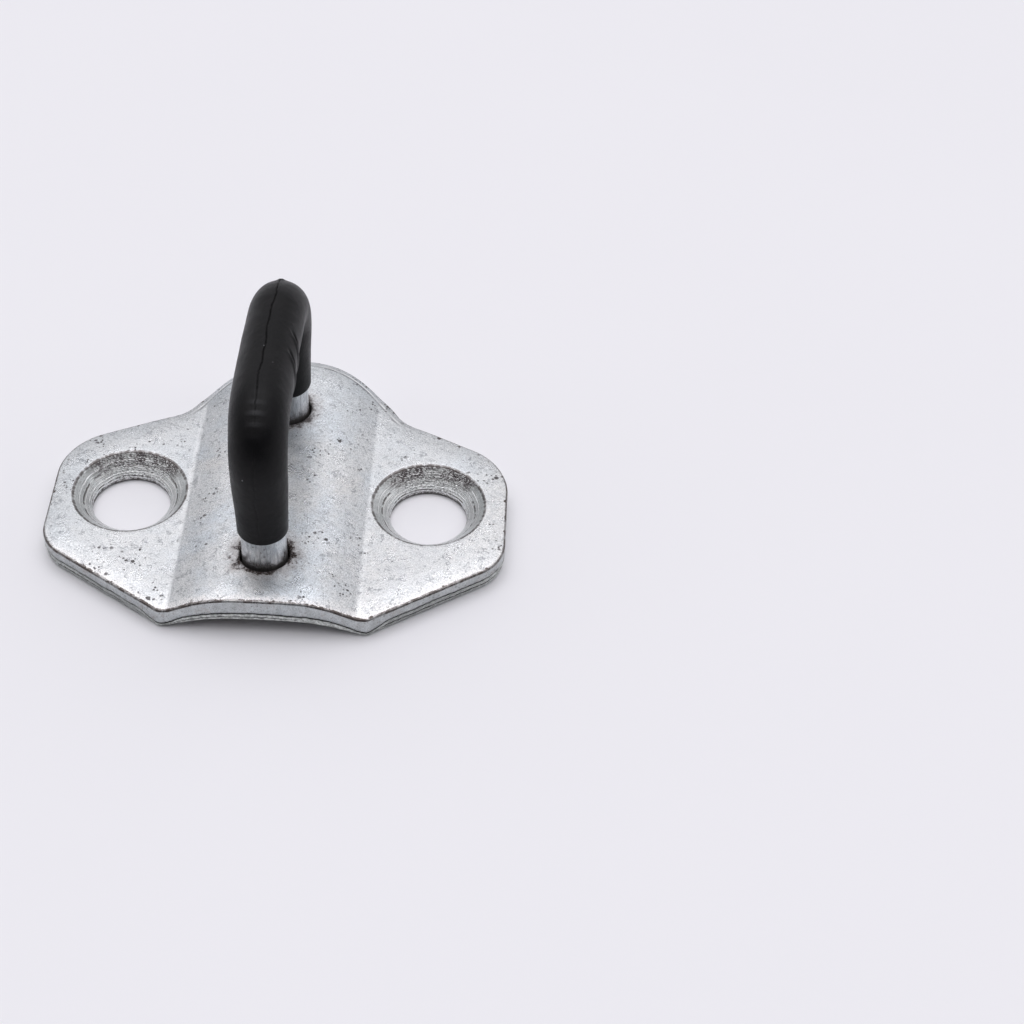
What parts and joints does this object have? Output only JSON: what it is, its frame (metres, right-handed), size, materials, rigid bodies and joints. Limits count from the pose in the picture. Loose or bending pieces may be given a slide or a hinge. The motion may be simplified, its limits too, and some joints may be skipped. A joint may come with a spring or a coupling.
{
  "type": "latch striker",
  "caption": "Latch striker: arched steel base plate with countersunk screw holes and a sleeved U-shaped loop that a latch grips.",
  "frame": {"origin": "on the mounting plane, under the middle of the bounding box", "axes": "+X from one screw hole to the other, +Y from the straight edge to the round lobe, +Z away from the mounting surface, along the legs of the loop"},
  "size_m": [0.0684, 0.0516, 0.0343],
  "materials": {
    "zinc_plated_steel": "satin zinc plate",
    "drawn_rod_steel": "smooth zinc plate",
    "black_sleeve": "satin"
  },
  "bodies": {
    "root": {"base_plate": "zinc_plated_steel", "striker_loop": "drawn_rod_steel", "loop_sleeve": "black_sleeve"}
  },
  "joints": []
}
